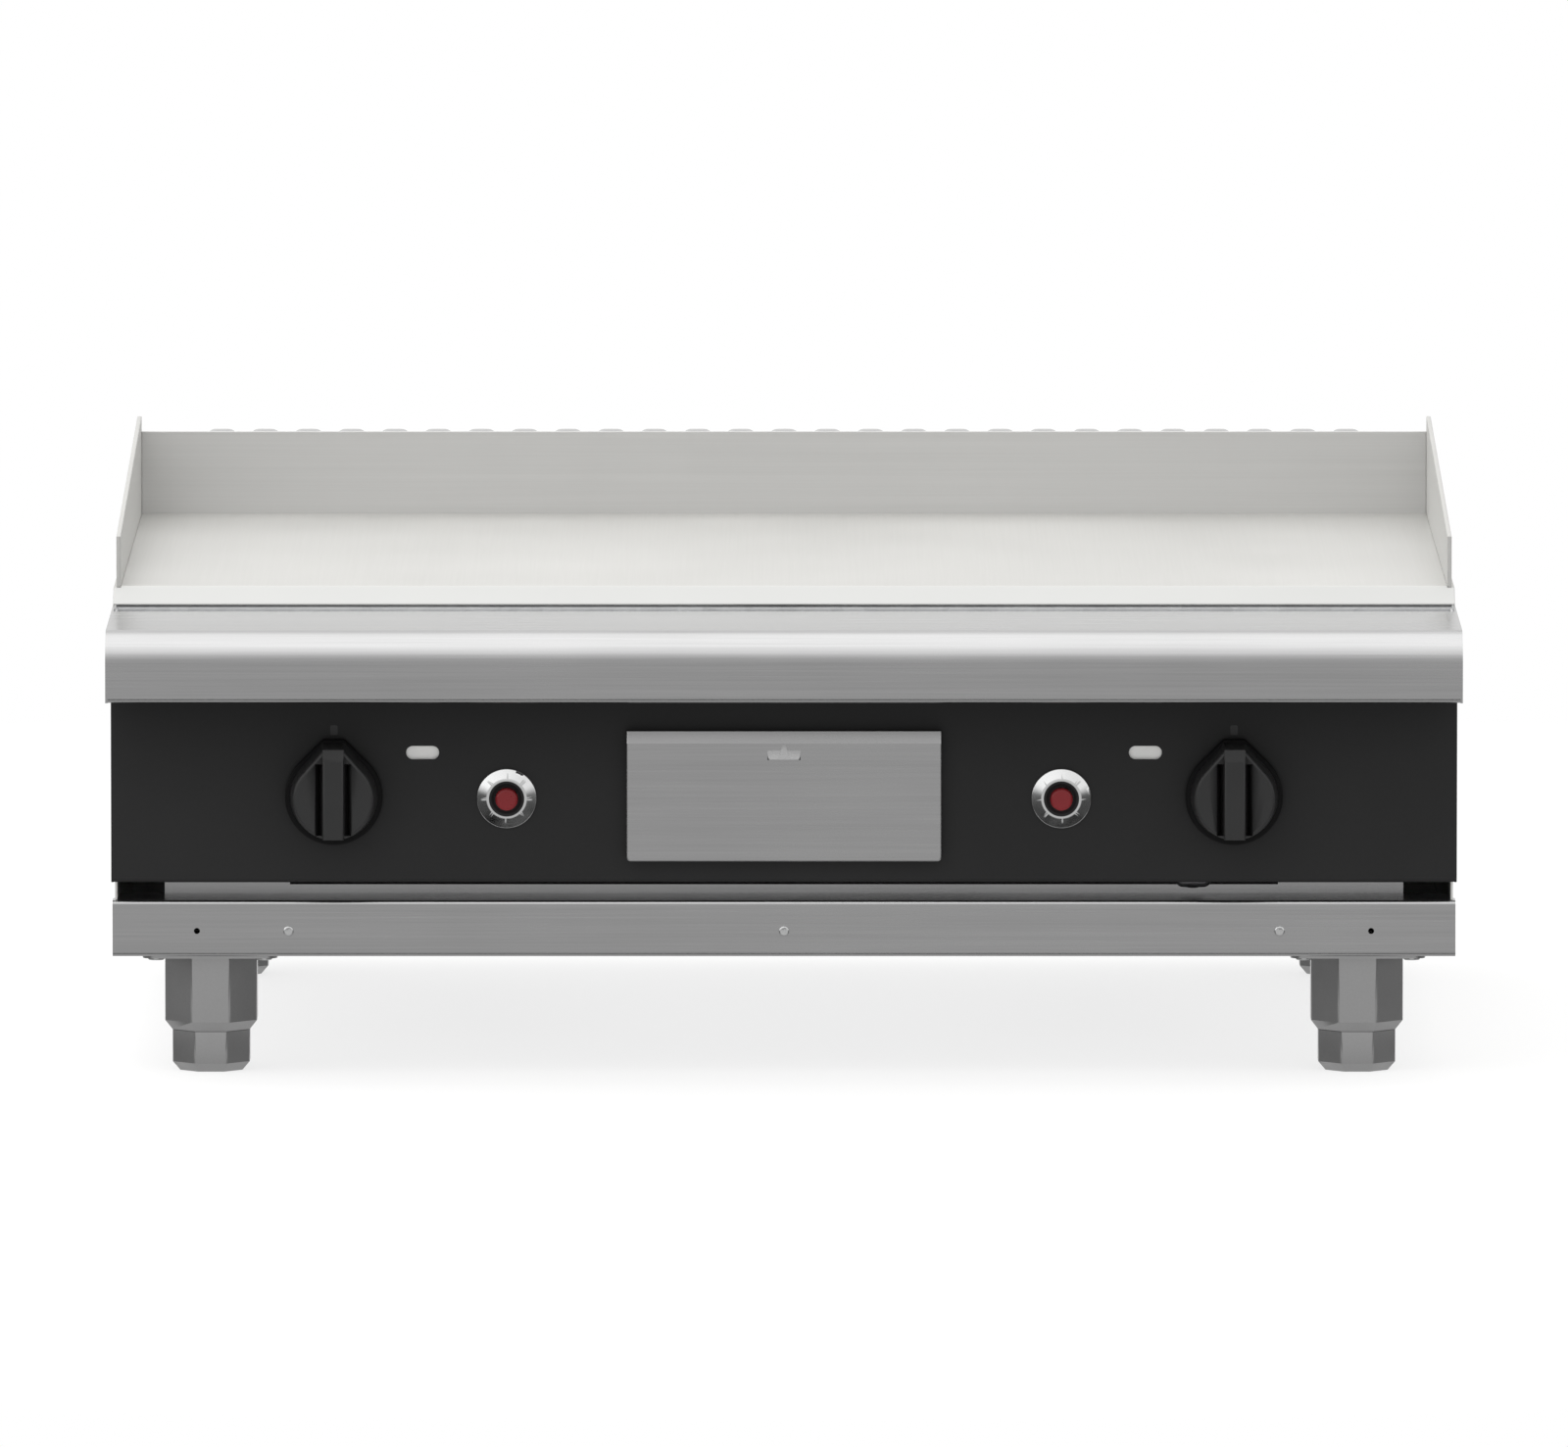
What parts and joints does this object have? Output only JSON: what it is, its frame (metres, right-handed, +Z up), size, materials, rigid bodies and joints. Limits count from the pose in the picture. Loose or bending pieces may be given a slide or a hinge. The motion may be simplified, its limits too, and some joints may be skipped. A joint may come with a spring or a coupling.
{
  "type": "flat top griddle",
  "caption": "Bench-top gas griddle with a thick flat cooking plate, rounded front hob, side and rear splash guards, black control panel, grease drawer and octagonal adjustable legs.",
  "frame": {"origin": "on the floor at the centre of the footprint: midway between the hob ends, and midway between the nose and the rear panel", "axes": "+X is the operator's right, along the hob; +Y runs from the nose to the rear panel; +Z is up"},
  "size_m": [0.9, 0.805, 0.3825],
  "materials": {
    "stainless": "brushed",
    "plate_steel": "ground and polished",
    "galvanised": "spangled zinc",
    "black_enamel": "satin enamel",
    "knob_black": "satin",
    "skirt_black": "satin",
    "leg_metal": "satin",
    "zinc": "bright zinc",
    "brass": "machined",
    "gloss_black": "gloss",
    "button_red": "gloss",
    "burner_steel": "heat tinted",
    "pipe_steel": "zinc plated",
    "copper_tube": "drawn copper tube",
    "pane": "frosted by heat"
  },
  "bodies": {
    "chassis": {"base_pan": "galvanised", "burner_left": "burner_steel", "burner_right": "burner_steel", "burner_stands": "galvanised", "control_panel": "black_enamel", "drawer_runner_left": "galvanised", "drawer_runner_right": "galvanised", "firewall": "stainless", "flue_cover": "stainless", "flue_duct": "galvanised", "front_hob": "stainless", "front_rail": "stainless", "gas_injectors": "brass", "gas_inlet": "pipe_steel", "gas_manifold": "pipe_steel", "gas_valve_left": "brass", "gas_valve_right": "brass", "grease_chute": "galvanised", "grease_trough": "galvanised", "griddle_plate": "plate_steel", "leg_bolts": "zinc", "leg_brackets": "galvanised", "leg_front_left": "leg_metal", "leg_front_right": "leg_metal", "leg_rear_left": "leg_metal", "leg_rear_right": "leg_metal", "piezo_housing_left": "gloss_black", "piezo_housing_right": "gloss_black", "piezo_nuts": "zinc", "pilot_burner_left": "burner_steel", "pilot_burner_right": "burner_steel", "pilot_tubes": "copper_tube", "plate_supports": "galvanised", "rail_screws": "zinc", "rear_panel": "galvanised", "rear_splash": "stainless", "runner_hangers": "galvanised", "side_guard_left": "stainless", "side_guard_right": "stainless", "side_panel_left": "stainless", "side_panel_right": "stainless", "sight_glasses": "pane", "supply_pipes": "pipe_steel"},
    "drawer": {"drawer_front": "stainless", "drawer_tray": "stainless", "drawer_pull": "stainless"},
    "valve_left": {"valve_plug_left": "brass"},
    "knob_left": {"knob_left": "knob_black", "knob_skirt_left": "skirt_black", "spindle_left": "zinc"},
    "igniter_left": {"piezo_button_left": "button_red"},
    "foot_front_left": {"foot_front_left": "leg_metal"},
    "foot_rear_left": {"foot_rear_left": "leg_metal"},
    "valve_right": {"valve_plug_right": "brass"},
    "knob_right": {"knob_right": "knob_black", "knob_skirt_right": "skirt_black", "spindle_right": "zinc"},
    "igniter_right": {"piezo_button_right": "button_red"},
    "foot_front_right": {"foot_front_right": "leg_metal"},
    "foot_rear_right": {"foot_rear_right": "leg_metal"}
  },
  "joints": [
    {"name": "drawer_slide", "type": "slide", "parent": "chassis", "child": "drawer", "axis": [0, -1, 0], "range_m": [0, 0.29]},
    {"name": "knob_turn_left", "type": "hinge", "parent": "chassis", "child": "valve_left", "pos_m": [-0.2995, -0.33, 0.1885], "axis": [0, -1, 0], "range_deg": [0, 270]},
    {"name": "knob_push_left", "type": "slide", "parent": "valve_left", "child": "knob_left", "axis": [0, 1, 0], "range_m": [0, 0.004], "stiffness_N_per_m": 1500, "springref_m": -0.004},
    {"name": "igniter_push_left", "type": "slide", "parent": "chassis", "child": "igniter_left", "axis": [0, 1, 0], "range_m": [0, 0.0045], "stiffness_N_per_m": 900, "springref_m": -0.004},
    {"name": "foot_adjust_front_left", "type": "slide", "parent": "chassis", "child": "foot_front_left", "axis": [0, 0, -1], "range_m": [0, 0.02]},
    {"name": "foot_adjust_rear_left", "type": "slide", "parent": "chassis", "child": "foot_rear_left", "axis": [0, 0, -1], "range_m": [0, 0.02]},
    {"name": "knob_turn_right", "type": "hinge", "parent": "chassis", "child": "valve_right", "pos_m": [0.2995, -0.33, 0.1885], "axis": [0, -1, 0], "range_deg": [0, 270]},
    {"name": "knob_push_right", "type": "slide", "parent": "valve_right", "child": "knob_right", "axis": [0, 1, 0], "range_m": [0, 0.004], "stiffness_N_per_m": 1500, "springref_m": -0.004},
    {"name": "igniter_push_right", "type": "slide", "parent": "chassis", "child": "igniter_right", "axis": [0, 1, 0], "range_m": [0, 0.0045], "stiffness_N_per_m": 900, "springref_m": -0.004},
    {"name": "foot_adjust_front_right", "type": "slide", "parent": "chassis", "child": "foot_front_right", "axis": [0, 0, -1], "range_m": [0, 0.02]},
    {"name": "foot_adjust_rear_right", "type": "slide", "parent": "chassis", "child": "foot_rear_right", "axis": [0, 0, -1], "range_m": [0, 0.02]}
  ]
}
